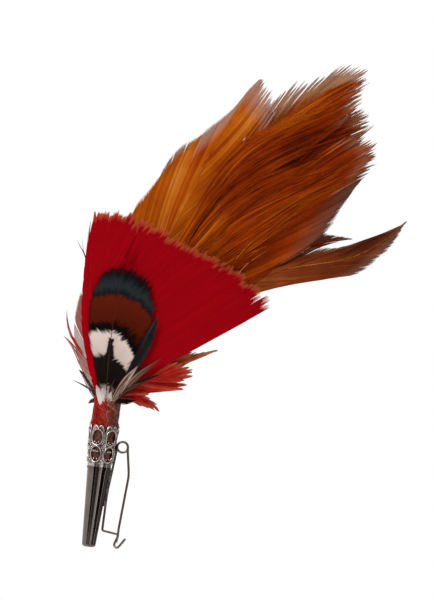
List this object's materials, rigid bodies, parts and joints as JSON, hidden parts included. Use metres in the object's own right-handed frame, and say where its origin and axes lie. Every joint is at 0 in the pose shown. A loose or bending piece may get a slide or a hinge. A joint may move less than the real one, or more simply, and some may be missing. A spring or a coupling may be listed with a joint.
{
  "type": "feather brooch",
  "caption": "Sheaf of dyed feathers glued and bound into a tapered metal holder with a pierced collar, worn by a coiled-wire safety pin along its side.",
  "frame": {"origin": "centre of the holder tube's closed flat end", "axes": "+Z along the holder's axis up to the feathers, +X towards the safety pin, -Y the fan's front"},
  "size_m": [0.0954, 0.018, 0.1531],
  "materials": {
    "holder_metal": "polished dark nickel",
    "collar_metal": "polished dark nickel with darkened recesses",
    "solder": "dull soft solder",
    "pin_wire": "smooth dark spring steel",
    "glue": "cured amber glue",
    "brown_tape": "dark brown floral tape",
    "binding_thread": "dark red-brown thread",
    "red_vane": "dyed crimson barbs with a soft sheen",
    "ginger_vane": "ginger cock-feather barbs, glossy",
    "pheasant_vane": "barred chestnut, black and white barbs"
  },
  "bodies": {
    "holder": {"holder_tube": "holder_metal", "collar_band": "holder_metal", "pierced_collar": "collar_metal", "solder_joints": "solder", "base_wire": "pin_wire", "spring_coil": "pin_wire", "glue_plug": "glue", "quill_packing": "brown_tape", "neck_wrap": "binding_thread", "pheasant_feather": "pheasant_vane", "red_feather_left": "red_vane", "red_feather_fan": "red_vane", "red_hackle_right": "red_vane", "red_hackle_low": "red_vane", "red_hackle_left": "red_vane", "ginger_wisp": "ginger_vane", "ginger_feather_bright": "ginger_vane", "ginger_feather_golden": "ginger_vane", "ginger_feather_cut": "ginger_vane", "ginger_feather_swoosh": "ginger_vane", "ginger_feather_upper": "ginger_vane", "ginger_feather_middle": "ginger_vane", "ginger_feather_fringed": "ginger_vane", "ginger_feather_lower": "ginger_vane", "ginger_feather_left": "ginger_vane", "ginger_feather_back": "ginger_vane"},
    "pin_arm": {"pin_arm": "pin_wire"}
  },
  "joints": [
    {"name": "pin_open", "type": "hinge", "parent": "holder", "child": "pin_arm", "pos_m": [0.00627, -0.00059, 0.0309], "axis": [-0.6428, -0.766, 0], "range_deg": [0, 30], "deforming": ["spring_coil"]}
  ]
}
